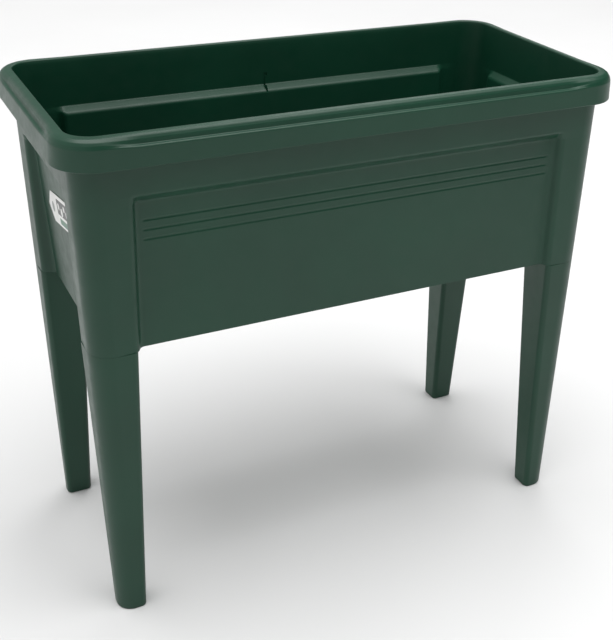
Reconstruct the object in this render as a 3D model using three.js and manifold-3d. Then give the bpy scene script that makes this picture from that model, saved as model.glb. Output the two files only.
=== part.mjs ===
// Raised self-watering planter: a moulded trough on four plug-in legs, with a false floor,
// wick cups, a filling tube, a float level gauge and a drain plug.
// Millimetres, +Z up. Origin: on the ground under the middle of the trough.
import * as THREE from 'three';
import { mergeVertices } from 'three/addons/utils/BufferGeometryUtils.js';
import Module from 'manifold-3d';

// ---- driving dimensions ----
const LENGTH = 751;
const DEPTH = 362;
const HEIGHT = 652;
const WALL = 3;
const FIT_GAP = 0.4;

const RIM_CORNER_R = 50;
const RIM_OVERHANG = 17;
const SKIRT_BOTTOM = 615;
const SKIRT_TOP = 640;

const TROUGH_BOTTOM = 378;
const FLOOR_TOP = TROUGH_BOTTOM + WALL;
const COLUMN_TOP = { x: LENGTH / 2 - RIM_OVERHANG, y: DEPTH / 2 - RIM_OVERHANG, r: 33 };
const COLUMN_FOOT = { x: 333, y: 154, r: 20 };
const COLUMN_INNER = { x: 293, y: 100 };
const FOOT_INNER = { x: 298, y: 121 };

const SHOULDER_OUTSIDE = { top: 574, bottom: 568 };
const SHOULDER_INSIDE = { top: 586, bottom: 579 };
const PANEL_TOP = { x: 344.5, y: 151.5 };
const PANEL_BOTTOM = { x: 330, y: 148 };
const RECESS_DRAFT = 4;
const GROOVE_HEIGHTS = [541, 529, 517];
const GROOVE_WIDTH = 3;
const GROOVE_DEPTH = 1.2;
const NOTCH_WIDTH = 5;

const LEG_SMALL_R = 7;
const CORNER_STEPS = 8;
const SMALL_STEPS = 3;

const SOCKET_TOP = 438;
const SOCKET_ROOF = SOCKET_TOP + WALL;
const SOCKET_WALL = 3;
const PLUG_LENGTH = 56;

const PLATE_BOTTOM = SOCKET_ROOF + FIT_GAP;
const PLATE_THICK = 3;
const PLATE_TOP = PLATE_BOTTOM + PLATE_THICK;
const PLATE_INNER_X = 0.75;
const PLATE_OUTER_X = 329.5;
const PLATE_HALF_Y = 144;
const RIB_HEIGHT = 9;
const RIB_THICK = 2.4;
const POST = { r: 7, x: 16, y: 95 };
const SLOT = { width: 4, length: 26, xs: [40, 72, 104, 136, 168, 200, 232, 264], ys: [-105, -68, 68, 105] };
const SLOT_TUBE_GAP = 48;

const CUP_X = [88, 232];
const CUP_TOP_R = 33.8;
const CUP_BOTTOM_R = 27;
const CUP_FLANGE_R = 40;

const FILL = { x: 258, y: -112, r: 22, bottom: 386, top: 600, mouthR: 27 };
const LID = { thick: 3, hingeR: 2.4 };
const HINGE = { y: FILL.y + FILL.mouthR + 5, z: FILL.top + 2.4, earX: 9, pinR: 1.5 };
const GAUGE = { x: 200, y: -122, r: 11, bottom: 383, top: 562, capTop: 612 };
const FLOAT = { r: 7.7, height: 32, rodR: 1.8, tipR: 4, rodTop: 560 };
const DRAIN = { holeR: 11, shankR: 10, flangeR: 18, flangeThick: 3, gripHeight: 10 };
const SEAL = { r: 15.5, thick: 2.5 };
const SEAL_BOTTOM = TROUGH_BOTTOM - 0.3 - SEAL.thick;
const FLANGE_TOP = SEAL_BOTTOM - 0.3;
const OVERFLOW = { x: 120, z: 434, r: 5 };

const LABEL = { length: 128, height: 40, point: 20, thick: 0.6, y: -10, z: 507, tilt: 10 };

// ---- materials ----
const plastic = (color, roughness = 0.45) => (
  new THREE.MeshStandardMaterial({ color, roughness, metalness: 0 })
);
const GREEN = 0x1f3d2e;
const DARK_GREY = 0x2a2d2b;
const CLEAR = 0xd8e6ea;
const RED = 0xb3261e;
const RUBBER = 0x141414;
const FOAM_WHITE = 0xe9e7df;
const PAPER = 0xf2f1ea;

// ---- solids ----
const wasm = await Module();
wasm.setup();

function toSolid(geometry) {
  const bare = geometry.clone();
  bare.deleteAttribute('normal');
  bare.deleteAttribute('uv');
  const merged = mergeVertices(bare, 1e-4);
  return new wasm.Manifold(new wasm.Mesh({
    numProp: 3,
    vertProperties: new Float32Array(merged.attributes.position.array),
    triVerts: new Uint32Array(merged.index.array),
  }));
}

function toGeometry(solid) {
  const mesh = solid.getMesh();
  const geometry = new THREE.BufferGeometry();
  geometry.setAttribute('position', new THREE.BufferAttribute(new Float32Array(mesh.vertProperties), 3));
  geometry.setIndex(new THREE.BufferAttribute(new Uint32Array(mesh.triVerts), 1));
  geometry.computeVertexNormals();
  return geometry;
}

const cutAll = (solid, tools) => tools.reduce((rest, tool) => rest.subtract(tool), solid);
const joinAll = (solids) => solids.reduce((sum, solid) => sum.add(solid));

function box(x0, x1, y0, y1, z0, z1) {
  const geometry = new THREE.BoxGeometry(x1 - x0, y1 - y0, z1 - z0);
  geometry.translate((x0 + x1) / 2, (y0 + y1) / 2, (z0 + z1) / 2);
  return toSolid(geometry);
}

function cylinder(x, y, r, z0, z1, segments = 24) {
  const geometry = new THREE.CylinderGeometry(r, r, z1 - z0, segments);
  geometry.rotateX(Math.PI / 2);
  geometry.translate(x, y, (z0 + z1) / 2);
  return toSolid(geometry);
}

// A solid of revolution about a vertical axis at (x, y); profile is [radius, height] pairs.
function turned(profile, x, y, segments = 24) {
  const points = profile.map(([r, z]) => new THREE.Vector2(r, z));
  const geometry = new THREE.LatheGeometry(points, segments);
  geometry.rotateX(Math.PI / 2);
  geometry.translate(x, y, 0);
  return toSolid(geometry);
}

// A closed solid through outlines of equal length, each { z, points }, listed upwards.
function loft(sections) {
  const count = sections[0].points.length;
  const positions = sections.flatMap(({ z, points }) => points.flatMap((p) => [p.x, p.y, z]));
  const index = [];
  for (let level = 0; level + 1 < sections.length; level += 1) {
    for (let i = 0; i < count; i += 1) {
      const a = level * count + i;
      const b = level * count + (i + 1) % count;
      index.push(a, b, b + count, a, b + count, a + count);
    }
  }
  const last = (sections.length - 1) * count;
  for (const [a, b, c] of THREE.ShapeUtils.triangulateShape(sections[0].points, [])) {
    index.push(a, c, b);
  }
  for (const [a, b, c] of THREE.ShapeUtils.triangulateShape(sections.at(-1).points, [])) {
    index.push(last + a, last + b, last + c);
  }
  const geometry = new THREE.BufferGeometry();
  geometry.setAttribute('position', new THREE.Float32BufferAttribute(positions, 3));
  geometry.setIndex(index);
  return toSolid(geometry);
}

// ---- outlines ----
function arc(cx, cy, r, startDegrees, steps) {
  return Array.from({ length: steps + 1 }, (_, i) => {
    const angle = THREE.MathUtils.degToRad(startDegrees + 90 * i / steps);
    return new THREE.Vector2(cx + r * Math.cos(angle), cy + r * Math.sin(angle));
  });
}

// Corners anticlockwise from the front right one: signs of x and y, and the angle its arc starts at.
const CORNERS = [
  { name: 'front_right', sx: 1, sy: -1, start: -90 },
  { name: 'back_right', sx: 1, sy: 1, start: 0 },
  { name: 'back_left', sx: -1, sy: 1, start: 90 },
  { name: 'front_left', sx: -1, sy: -1, start: 180 },
];

function roundedRect(x, y, r) {
  return CORNERS.flatMap(({ sx, sy, start }) => arc(sx * (x - r), sy * (y - r), r, start, CORNER_STEPS));
}

// The outer faces of a corner column run straight from the rim to the foot of the leg.
function columnAt(z) {
  const t = z / SKIRT_BOTTOM;
  return {
    x: THREE.MathUtils.lerp(COLUMN_FOOT.x, COLUMN_TOP.x, t),
    y: THREE.MathUtils.lerp(COLUMN_FOOT.y, COLUMN_TOP.y, t),
    r: THREE.MathUtils.lerp(COLUMN_FOOT.r, COLUMN_TOP.r, t),
  };
}

function panelAt(z) {
  const t = (z - TROUGH_BOTTOM) / (SHOULDER_OUTSIDE.bottom - TROUGH_BOTTOM);
  return {
    x: THREE.MathUtils.lerp(PANEL_BOTTOM.x, PANEL_TOP.x, t),
    y: THREE.MathUtils.lerp(PANEL_BOTTOM.y, PANEL_TOP.y, t),
  };
}

// Trough outline at a height. inset is how far inside the outer skin it lies, and recess goes from
// 0 above the shoulder to 1 below it, where the long and short sides step in between the columns.
function troughOutline(z, inset, recess) {
  const column = columnAt(z);
  const panel = panelAt(z);
  const x = column.x - inset;
  const y = column.y - inset;
  const r = column.r - inset;
  const panelX = THREE.MathUtils.lerp(x, panel.x - inset, recess);
  const panelY = THREE.MathUtils.lerp(y, panel.y - inset, recess);
  const innerX = COLUMN_INNER.x + inset;
  const innerY = COLUMN_INNER.y + inset;
  return CORNERS.flatMap(({ sx, sy, start }) => {
    const corner = arc(sx * (x - r), sy * (y - r), r, start, CORNER_STEPS);
    const onLongSide = [
      new THREE.Vector2(sx * (innerX - RECESS_DRAFT), sy * panelY),
      new THREE.Vector2(sx * innerX, sy * y),
    ];
    const onShortSide = [
      new THREE.Vector2(sx * x, sy * innerY),
      new THREE.Vector2(sx * panelX, sy * (innerY - RECESS_DRAFT)),
    ];
    return sx * sy < 0
      ? [...onLongSide, ...corner, ...onShortSide]
      : [...onShortSide.reverse(), ...corner, ...onLongSide.reverse()];
  });
}

const troughSection = (z, inset, recess) => ({ z, points: troughOutline(z, inset, recess) });
const rimSection = (z, inset) => ({
  z,
  points: roundedRect(LENGTH / 2 - inset, DEPTH / 2 - inset, RIM_CORNER_R - inset),
});

// Leg outline in one corner: a large outer radius where it carries on the column, small ones inside.
function legOutline(corner, z, inset) {
  const { sx, sy } = corner;
  const outer = columnAt(z);
  const t = Math.min(1, z / TROUGH_BOTTOM);
  const x0 = THREE.MathUtils.lerp(FOOT_INNER.x, COLUMN_INNER.x, t) + inset;
  const y0 = THREE.MathUtils.lerp(FOOT_INNER.y, COLUMN_INNER.y, t) + inset;
  const x1 = outer.x - inset;
  const y1 = outer.y - inset;
  const big = outer.r - inset;
  const small = LEG_SMALL_R - inset * 0.6;
  const quarter = [
    ...arc(x0 + small, y0 + small, small, 180, SMALL_STEPS),
    ...arc(x1 - small, y0 + small, small, 270, SMALL_STEPS),
    ...arc(x1 - big, y1 - big, big, 0, CORNER_STEPS),
    ...arc(x0 + small, y1 - small, small, 90, SMALL_STEPS),
  ].map((p) => new THREE.Vector2(sx * p.x, sy * p.y));
  return sx * sy > 0 ? quarter : quarter.reverse();
}

const legSection = (corner, z, inset) => ({ z, points: legOutline(corner, z, inset) });

// ---- trough ----
function rimSolid() {
  // Skirt face, a shallow groove above its edge, then the top roll.
  const body = loft([
    rimSection(SKIRT_BOTTOM, 1),
    rimSection(SKIRT_BOTTOM + 1.2, 0),
    rimSection(SKIRT_TOP - 1.5, 0),
    rimSection(SKIRT_TOP, 0.8),
    rimSection(SKIRT_TOP + 1.5, 2.6),
    rimSection(SKIRT_TOP + 4, 3.6),
    rimSection(SKIRT_TOP + 7.5, 5.8),
    rimSection(SKIRT_TOP + 10.3, 9.5),
    rimSection(HEIGHT, 14.5),
  ]);
  const underRim = loft([
    rimSection(SKIRT_BOTTOM - 2, WALL),
    rimSection(SKIRT_TOP - 6, WALL),
    rimSection(SKIRT_TOP + 1, WALL + 5),
  ]);
  const wall = loft([troughSection(SKIRT_BOTTOM - 4, 0, 0), troughSection(SKIRT_TOP + 3, 0, 0)]);
  return body.subtract(underRim.subtract(wall));
}

// A box in one quadrant, given by its distances from the middle planes.
function quadrantBox({ sx, sy }, x0, x1, y0, y1, z0, z1) {
  const [left, right] = [sx * x0, sx * x1].sort((a, b) => a - b);
  const [front, back] = [sy * y0, sy * y1].sort((a, b) => a - b);
  return box(left, right, front, back, z0, z1);
}

// The closed floor over each leg socket stands higher than the trough's own floor.
function socketBlocks() {
  const x0 = COLUMN_INNER.x - SOCKET_WALL;
  const y0 = COLUMN_INNER.y - SOCKET_WALL;
  return CORNERS.map((corner) => (
    quadrantBox(corner, x0, COLUMN_TOP.x + 20, y0, COLUMN_TOP.y + 20, FLOOR_TOP - 5, SOCKET_ROOF)
  ));
}

function legSockets() {
  return CORNERS.map((corner) => loft([
    legSection(corner, TROUGH_BOTTOM - 2, SOCKET_WALL),
    legSection(corner, SOCKET_TOP, SOCKET_WALL),
  ]));
}

// Three fine horizontal grooves across each long side.
function panelGrooves() {
  const reach = COLUMN_INNER.x - RECESS_DRAFT - 1;
  const half = GROOVE_WIDTH / 2;
  return GROOVE_HEIGHTS.flatMap((z) => {
    const face = panelAt(z).y - GROOVE_DEPTH;
    return [
      box(-reach, reach, -face - 8, -face, z - half, z + half),
      box(-reach, reach, face, face + 8, z - half, z + half),
    ];
  });
}

// Slots at mid-length in both long shoulders, where a divider board can stand.
function dividerSlots() {
  const half = NOTCH_WIDTH / 2;
  const ledge = panelAt(SHOULDER_INSIDE.bottom).y - WALL;
  const wall = columnAt(SHOULDER_INSIDE.top).y - WALL;
  const floor = SHOULDER_OUTSIDE.top + WALL;
  return [-1, 1].flatMap((side) => {
    const [y0, y1] = [side * (ledge - 3), side * (wall - 3)].sort((a, b) => a - b);
    const [y2, y3] = [side * (wall - 4), side * (wall + 1.2)].sort((a, b) => a - b);
    return [
      box(-half, half, y0, y1, floor, SHOULDER_INSIDE.top + 4),
      box(-1, 1, y2, y3, SHOULDER_INSIDE.top - 3, SHOULDER_INSIDE.top + 17),
    ];
  });
}

function overflowHole() {
  const geometry = new THREE.CylinderGeometry(OVERFLOW.r, OVERFLOW.r, 40, 16);
  geometry.translate(OVERFLOW.x, PANEL_BOTTOM.y, OVERFLOW.z);
  return toSolid(geometry);
}

function troughSolid() {
  const skin = loft([
    troughSection(TROUGH_BOTTOM, 1.2, 1),
    troughSection(TROUGH_BOTTOM + 1.5, 0, 1),
    troughSection(SHOULDER_OUTSIDE.bottom, 0, 1),
    troughSection(SHOULDER_OUTSIDE.top, 0, 0),
    troughSection(SKIRT_TOP + 2, 0, 0),
  ]);
  const inside = loft([
    troughSection(FLOOR_TOP, WALL + 1.5, 1),
    troughSection(FLOOR_TOP + 2, WALL, 1),
    troughSection(SHOULDER_INSIDE.bottom, WALL, 1),
    troughSection(SHOULDER_INSIDE.top, WALL, 0),
    troughSection(HEIGHT - 2, WALL, 0),
    troughSection(HEIGHT + 0.5, WALL - 2, 0),
  ]);
  const drain = cylinder(0, 0, DRAIN.holeR, TROUGH_BOTTOM - 2, FLOOR_TOP + 2);
  const shell = rimSolid().add(skin).subtract(cutAll(inside, socketBlocks()));
  return cutAll(shell, [...legSockets(), ...panelGrooves(), ...dividerSlots(), drain, overflowHole()]);
}

// ---- legs ----
function legSolid(corner) {
  const top = TROUGH_BOTTOM - 0.3;
  const plugInset = SOCKET_WALL + FIT_GAP;
  const outside = loft([legSection(corner, 0, 2), legSection(corner, 2, 0), legSection(corner, top, 0)]);
  const plug = loft([
    legSection(corner, top - 5, plugInset),
    legSection(corner, top + PLUG_LENGTH - 4, plugInset),
    legSection(corner, top + PLUG_LENGTH, plugInset + 2),
  ]);
  const hollow = loft([legSection(corner, WALL, WALL + 1), legSection(corner, top - 5, WALL + 0.4)]);
  const hollowPlug = loft([
    legSection(corner, top - 6, plugInset + 2),
    legSection(corner, top + PLUG_LENGTH + 1, plugInset + 3.4),
  ]);
  return outside.add(plug).subtract(hollow).subtract(hollowPlug);
}

// ---- false floor ----
function plateSolid(side) {
  const along = (x0, x1, y0, y1, z0, z1) => {
    const [left, right] = [side * x0, side * x1].sort((a, b) => a - b);
    return box(left, right, y0, y1, z0, z1);
  };
  const ribBottom = PLATE_BOTTOM - RIB_HEIGHT;
  const half = RIB_THICK / 2;
  const sheet = along(PLATE_INNER_X, PLATE_OUTER_X, -PLATE_HALF_Y, PLATE_HALF_Y, PLATE_BOTTOM, PLATE_TOP);
  const longRibs = [-52, 52].map((y) => along(8, 284, y - half, y + half, ribBottom, PLATE_BOTTOM + 1));
  const crossRibs = [9.2, 160, 282.8].map((x) => (
    along(x - half, x + half, -52, 52, ribBottom, PLATE_BOTTOM + 1)
  ));
  const posts = [-POST.y, POST.y].map((y) => (
    cylinder(side * POST.x, y, POST.r, FLOOR_TOP + 0.5, PLATE_BOTTOM + 1, 16)
  ));
  const cupHoles = CUP_X.map((x) => (
    cylinder(side * x, 0, CUP_TOP_R + 0.8, ribBottom - 1, PLATE_TOP + 1)
  ));
  const tubes = side > 0 ? [FILL, GAUGE] : [];
  const tubeHoles = tubes.map(({ x, y, r }) => cylinder(x, y, r + 0.5, ribBottom - 1, PLATE_TOP + 1));
  const slots = SLOT.xs.flatMap((x) => SLOT.ys
    .filter((y) => tubes.every((tube) => Math.hypot(x - tube.x, y - tube.y) > SLOT_TUBE_GAP))
    .map((y) => along(
      x - SLOT.width / 2,
      x + SLOT.width / 2,
      y - SLOT.length / 2,
      y + SLOT.length / 2,
      PLATE_BOTTOM - 1,
      PLATE_TOP + 1,
    )));
  const blank = joinAll([sheet, ...longRibs, ...crossRibs, ...posts]);
  return cutAll(blank, [...cupHoles, ...tubeHoles, ...slots]);
}

// A tapered cup of soil that reaches the water: closed bottom, slotted side, flange on the plate.
function cupSolid(x) {
  const seat = PLATE_TOP + 0.3;
  const body = turned([
    [0, FLOOR_TOP + 0.6],
    [CUP_BOTTOM_R, FLOOR_TOP + 0.6],
    [CUP_TOP_R, PLATE_BOTTOM],
    [CUP_TOP_R, seat],
    [CUP_FLANGE_R, seat],
    [CUP_FLANGE_R, seat + 2],
    [CUP_TOP_R - 2, seat + 2],
    [CUP_BOTTOM_R - 2, FLOOR_TOP + 2.6],
    [0, FLOOR_TOP + 2.6],
  ], x, 0);
  const slots = [0, 1, 2, 3].map((i) => {
    const geometry = new THREE.BoxGeometry(90, 5, 40);
    geometry.rotateZ(Math.PI * (i + 0.5) / 4);
    geometry.translate(x, 0, FLOOR_TOP + 30);
    return toSolid(geometry);
  });
  return cutAll(body, slots);
}

// ---- filling tube and its lid ----
function fillTubeSolid() {
  const collar = PLATE_TOP + 0.3;
  const inner = FILL.r - 2;
  const body = turned([
    [inner, FILL.bottom],
    [FILL.r, FILL.bottom],
    [FILL.r, collar],
    [FILL.r + 6, collar],
    [FILL.r + 6, collar + 2],
    [FILL.r, collar + 2],
    [FILL.r, FILL.top - 22],
    [FILL.mouthR, FILL.top - 8],
    [FILL.mouthR, FILL.top],
    [FILL.mouthR - 2, FILL.top],
    [FILL.mouthR - 2, FILL.top - 8],
    [inner, FILL.top - 22],
    [inner, FILL.bottom],
  ], FILL.x, FILL.y, 28);
  const outlets = [0, 1].map((i) => {
    const geometry = new THREE.BoxGeometry(80, 8, 24);
    geometry.rotateZ(Math.PI * i / 2);
    geometry.translate(FILL.x, FILL.y, FILL.bottom + 2);
    return toSolid(geometry);
  });
  const ears = [-1, 1].flatMap((side) => {
    const [left, right] = [side * (HINGE.earX - 3), side * HINGE.earX].sort((p, q) => p - q);
    const x0 = FILL.x + left;
    const x1 = FILL.x + right;
    const edge = FILL.y + FILL.mouthR;
    return [
      box(x0, x1, edge - 3, HINGE.y + 3.5, FILL.top - 8, FILL.top - 0.2),
      box(x0, x1, edge + 1, HINGE.y + 3.5, FILL.top - 1, HINGE.z + 3.5),
    ];
  });
  return cutAll(joinAll([body, ...ears]), [...outlets, barrel(HINGE.pinR + FIT_GAP, 2 * HINGE.earX + 4)]);
}

function barrel(r, length) {
  const geometry = new THREE.CylinderGeometry(r, r, length, 16);
  geometry.rotateZ(Math.PI / 2);
  geometry.translate(FILL.x, HINGE.y, HINGE.z);
  return toSolid(geometry);
}

function lidSolid() {
  const bottom = FILL.top + 0.4;
  const disc = cylinder(FILL.x, FILL.y, FILL.mouthR, bottom, bottom + LID.thick, 28);
  const ring = cylinder(FILL.x, FILL.y, FILL.mouthR - 3.5, bottom - 4, bottom + 1, 28)
    .subtract(cylinder(FILL.x, FILL.y, FILL.mouthR - 5.5, bottom - 5, bottom, 28));
  const arm = box(FILL.x - 4.5, FILL.x + 4.5, FILL.y + FILL.mouthR - 4, HINGE.y, bottom, bottom + LID.thick);
  const front = FILL.y - FILL.mouthR;
  const tab = box(FILL.x - 8, FILL.x + 8, front - 6, front + 3, bottom, bottom + 2);
  const hub = barrel(LID.hingeR, 2 * HINGE.earX - 7);
  const pin = barrel(HINGE.pinR, 2 * HINGE.earX);
  return joinAll([disc, ring, arm, tab, hub, pin]);
}

// ---- level gauge ----
function gaugeTubeSolid() {
  const collar = PLATE_TOP + 0.3;
  const inner = GAUGE.r - 2;
  return turned([
    [inner, GAUGE.bottom],
    [GAUGE.r, GAUGE.bottom],
    [GAUGE.r, collar],
    [GAUGE.r + 4, collar],
    [GAUGE.r + 4, collar + 2],
    [GAUGE.r, collar + 2],
    [GAUGE.r, GAUGE.top],
    [inner, GAUGE.top],
    [inner, GAUGE.bottom],
  ], GAUGE.x, GAUGE.y, 20);
}

// The window on top of the gauge: a clear dome with a spigot that sits in the tube.
function gaugeCapSolid() {
  const seat = GAUGE.top + 0.3;
  const spigot = GAUGE.r - 2 - FIT_GAP;
  return turned([
    [0, GAUGE.capTop - 2],
    [GAUGE.r - 2.6, GAUGE.capTop - 3],
    [GAUGE.r - 2, seat + 2],
    [spigot - 1.5, seat],
    [spigot - 1.5, seat - 8],
    [spigot, seat - 8],
    [spigot, seat],
    [GAUGE.r, seat],
    [GAUGE.r, GAUGE.capTop - 3],
    [GAUGE.r - 2, GAUGE.capTop - 0.6],
    [0, GAUGE.capTop],
  ], GAUGE.x, GAUGE.y, 20);
}

function floatSolid() {
  const bottom = GAUGE.bottom + 1;
  return turned([
    [0, bottom],
    [FLOAT.r - 1, bottom],
    [FLOAT.r, bottom + 1],
    [FLOAT.r, bottom + FLOAT.height - 1],
    [FLOAT.r - 1, bottom + FLOAT.height],
    [0, bottom + FLOAT.height],
  ], GAUGE.x, GAUGE.y, 20);
}

// The rod stands on the float and carries the coloured tip that shows in the window.
function rodSolid() {
  const foot = GAUGE.bottom + 1 + FLOAT.height + 0.3;
  return turned([
    [0, foot],
    [FLOAT.rodR + 2, foot],
    [FLOAT.rodR + 2, foot + 2],
    [FLOAT.rodR, foot + 3],
    [FLOAT.rodR, FLOAT.rodTop - 16],
    [FLOAT.tipR, FLOAT.rodTop - 14],
    [FLOAT.tipR, FLOAT.rodTop - 2],
    [FLOAT.tipR - 2, FLOAT.rodTop],
    [0, FLOAT.rodTop],
  ], GAUGE.x, GAUGE.y, 16);
}

// ---- drain plug ----
function plugSolid() {
  const flangeBottom = FLANGE_TOP - DRAIN.flangeThick;
  const stem = turned([
    [0, flangeBottom],
    [DRAIN.flangeR - 1, flangeBottom],
    [DRAIN.flangeR, flangeBottom + 1],
    [DRAIN.flangeR, FLANGE_TOP],
    [DRAIN.shankR, FLANGE_TOP],
    [DRAIN.shankR, FLOOR_TOP + 3],
    [DRAIN.shankR - 2, FLOOR_TOP + 5],
    [0, FLOOR_TOP + 5],
  ], 0, 0);
  const grip = box(-13, 13, -2.5, 2.5, flangeBottom - DRAIN.gripHeight, flangeBottom + 1);
  return stem.add(grip);
}

function sealSolid() {
  const inner = DRAIN.shankR + FIT_GAP;
  return turned([
    [inner, SEAL_BOTTOM],
    [SEAL.r, SEAL_BOTTOM],
    [SEAL.r, SEAL_BOTTOM + SEAL.thick],
    [inner, SEAL_BOTTOM + SEAL.thick],
    [inner, SEAL_BOTTOM],
  ], 0, 0);
}

// ---- label on the left end: a strip with a pointed rear end, laid on the sloping panel ----
function labelMesh() {
  const half = LABEL.length / 2;
  const rise = LABEL.height / 2;
  const shape = new THREE.Shape([
    new THREE.Vector2(-half, 0),
    new THREE.Vector2(-half + LABEL.point, -rise),
    new THREE.Vector2(half, -rise),
    new THREE.Vector2(half, rise),
    new THREE.Vector2(-half + LABEL.point, rise),
  ]);
  const geometry = new THREE.ExtrudeGeometry(shape, { depth: LABEL.thick, bevelEnabled: false });
  const low = panelAt(TROUGH_BOTTOM);
  const high = panelAt(SHOULDER_OUTSIDE.bottom);
  const up = new THREE.Vector3(low.x - high.x, 0, SHOULDER_OUTSIDE.bottom - TROUGH_BOTTOM).normalize();
  const forward = new THREE.Vector3(0, -1, 0);
  const outward = new THREE.Vector3().crossVectors(forward, up);
  geometry.rotateZ(THREE.MathUtils.degToRad(LABEL.tilt));
  const mesh = named('care_label', geometry, plastic(PAPER, 0.35));
  mesh.applyMatrix4(new THREE.Matrix4().makeBasis(forward, up, outward));
  mesh.position.set(-panelAt(LABEL.z).x, LABEL.y, LABEL.z).addScaledVector(outward, 0.35);
  return mesh;
}

// ---- assembly ----
function named(name, geometry, material) {
  const mesh = new THREE.Mesh(geometry, material);
  mesh.name = name;
  return mesh;
}

const part = (name, solid, material) => named(name, toGeometry(solid), material);

function rootGroup() {
  const group = new THREE.Group();
  group.add(part('trough', troughSolid(), plastic(GREEN)));
  for (const corner of CORNERS) {
    group.add(part(`leg_${corner.name}`, legSolid(corner), plastic(GREEN)));
  }
  group.add(labelMesh());
  return group;
}

function separatorGroup(side) {
  const word = side < 0 ? 'left' : 'right';
  const group = new THREE.Group();
  group.add(part(`separator_${word}`, plateSolid(side), plastic(DARK_GREY, 0.6)));
  CUP_X.forEach((x, i) => {
    group.add(part(`wick_cup_${word}_${i + 1}`, cupSolid(side * x), plastic(DARK_GREY, 0.6)));
  });
  return group;
}

function fillGroup() {
  const group = new THREE.Group();
  group.add(part('fill_tube', fillTubeSolid(), plastic(DARK_GREY)));
  group.add(part('fill_lid', lidSolid(), plastic(GREEN)));
  return group;
}

function gaugeGroup() {
  const group = new THREE.Group();
  group.add(part('gauge_tube', gaugeTubeSolid(), plastic(DARK_GREY)));
  group.add(part('gauge_window', gaugeCapSolid(), plastic(CLEAR, 0.1)));
  group.add(part('gauge_float', floatSolid(), plastic(FOAM_WHITE, 0.8)));
  group.add(part('gauge_rod', rodSolid(), plastic(RED)));
  return group;
}

function drainGroup() {
  const group = new THREE.Group();
  group.add(part('drain_plug', plugSolid(), plastic(DARK_GREY)));
  group.add(part('drain_seal', sealSolid(), plastic(RUBBER, 0.8)));
  return group;
}

const planter = new THREE.Group();
planter.add(rootGroup(), separatorGroup(-1), separatorGroup(1), fillGroup(), gaugeGroup(), drainGroup());

export default planter;
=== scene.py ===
import math

import bmesh
import bpy
import numpy as np
from mathutils import Matrix, Vector


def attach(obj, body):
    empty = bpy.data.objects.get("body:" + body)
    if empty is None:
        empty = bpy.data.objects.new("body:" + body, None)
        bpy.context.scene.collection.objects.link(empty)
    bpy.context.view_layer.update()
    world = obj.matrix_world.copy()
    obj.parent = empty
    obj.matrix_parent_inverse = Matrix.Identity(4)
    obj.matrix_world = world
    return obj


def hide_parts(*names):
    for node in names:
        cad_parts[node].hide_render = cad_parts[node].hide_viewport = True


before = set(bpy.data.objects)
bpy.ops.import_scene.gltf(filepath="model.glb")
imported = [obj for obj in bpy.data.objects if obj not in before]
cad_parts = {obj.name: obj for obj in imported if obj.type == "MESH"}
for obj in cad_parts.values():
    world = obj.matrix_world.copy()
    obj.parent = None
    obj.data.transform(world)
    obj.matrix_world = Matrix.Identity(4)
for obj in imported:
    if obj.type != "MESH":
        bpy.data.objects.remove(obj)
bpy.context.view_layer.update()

# ---------------------------------------------------------------- sizes

# Sizes are in millimetres and become metres in make_mesh.
MM = 0.001

LENGTH, DEPTH, HEIGHT = 751.0, 362.0, 652.0
WALL, THIN_WALL = 3.0, 2.0
FIT_GAP, SEAT_GAP = 0.4, 0.3
ON_AXIS = 0.01

# Trough. Columns are half length, half depth and corner radius; panels are the first two.
RIM_CORNER_R = 50.0
SKIRT_BOTTOM, SKIRT_TOP = 615.0, 640.0
TROUGH_BOTTOM = 378.0
FLOOR_TOP = TROUGH_BOTTOM + WALL
COLUMN_TOP = np.array([358.5, 164.0, 33.0])
COLUMN_FOOT = np.array([333.0, 154.0, 20.0])
COLUMN_INNER = (293.0, 100.0)
COLUMN_STEP = 0.9
PANEL_TOP = np.array([344.5, 151.5])
PANEL_BOTTOM = np.array([330.0, 148.0])
SHOULDER_OUTSIDE = (565.0, 576.0)
SHOULDER_INSIDE = (579.0, 586.0)
RECESS_DRAFT = 5.5
RECESS_DEPTH = 13.0
GROOVES = (517.0, 529.0, 541.0)
GROOVE_HALF, GROOVE_DEPTH, GROOVE_STEPS = 2.6, 0.75, 6
OVERFLOW_X, OVERFLOW_Z, OVERFLOW_R = 120.0, 434.0, 5.0

# Legs and their sockets.
FOOT_INNER = (298.0, 121.0)
LEG_SMALL_R = 7.0
LEG_SEAM = 0.12
LEG_TOP = TROUGH_BOTTOM - LEG_SEAM
PLUG_INSET = WALL + FIT_GAP
PLUG_TOP = LEG_TOP + 56.0
SOCKET_TOP, SOCKET_ROOF = 438.0, 441.0

# False-floor plates. Distances along X are from the middle joint outwards.
PLATE_BOTTOM = SOCKET_ROOF + FIT_GAP
PLATE_TOP = PLATE_BOTTOM + WALL
PLATE_X, PLATE_HALF_Y, PLATE_CORNER_R = (0.75, 329.5), 144.0, 5.0
RIB_HEIGHT, RIB_HALF, RIB_Y, RIB_ENDS = 9.0, 1.2, 52.0, (8.0, 284.0)
CROSS_RIB_X = (9.2, 160.0, 282.8)
POST_X, POST_Y, POST_R = 16.0, 95.0, 7.0
SLOT_X, SLOT_Y = range(40, 265, 32), (-105.0, -68.0, 68.0, 105.0)
SLOT_WIDTH, SLOT_LENGTH, SLOT_TO_TUBE = 4.0, 26.0, 48.0

# Wick cups.
CUP_X = (88.0, 232.0)
CUP_TOP_R, CUP_BOTTOM_R, CUP_FLANGE_R = 33.8, 27.0, 40.0
CUP_LOW = FLOOR_TOP + 0.6
CUP_SLOTS, CUP_SLOT_WIDTH, CUP_SLOT_LENGTH, CUP_SLOT_Z = 4, 5.0, 40.0, FLOOR_TOP + 30

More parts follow.
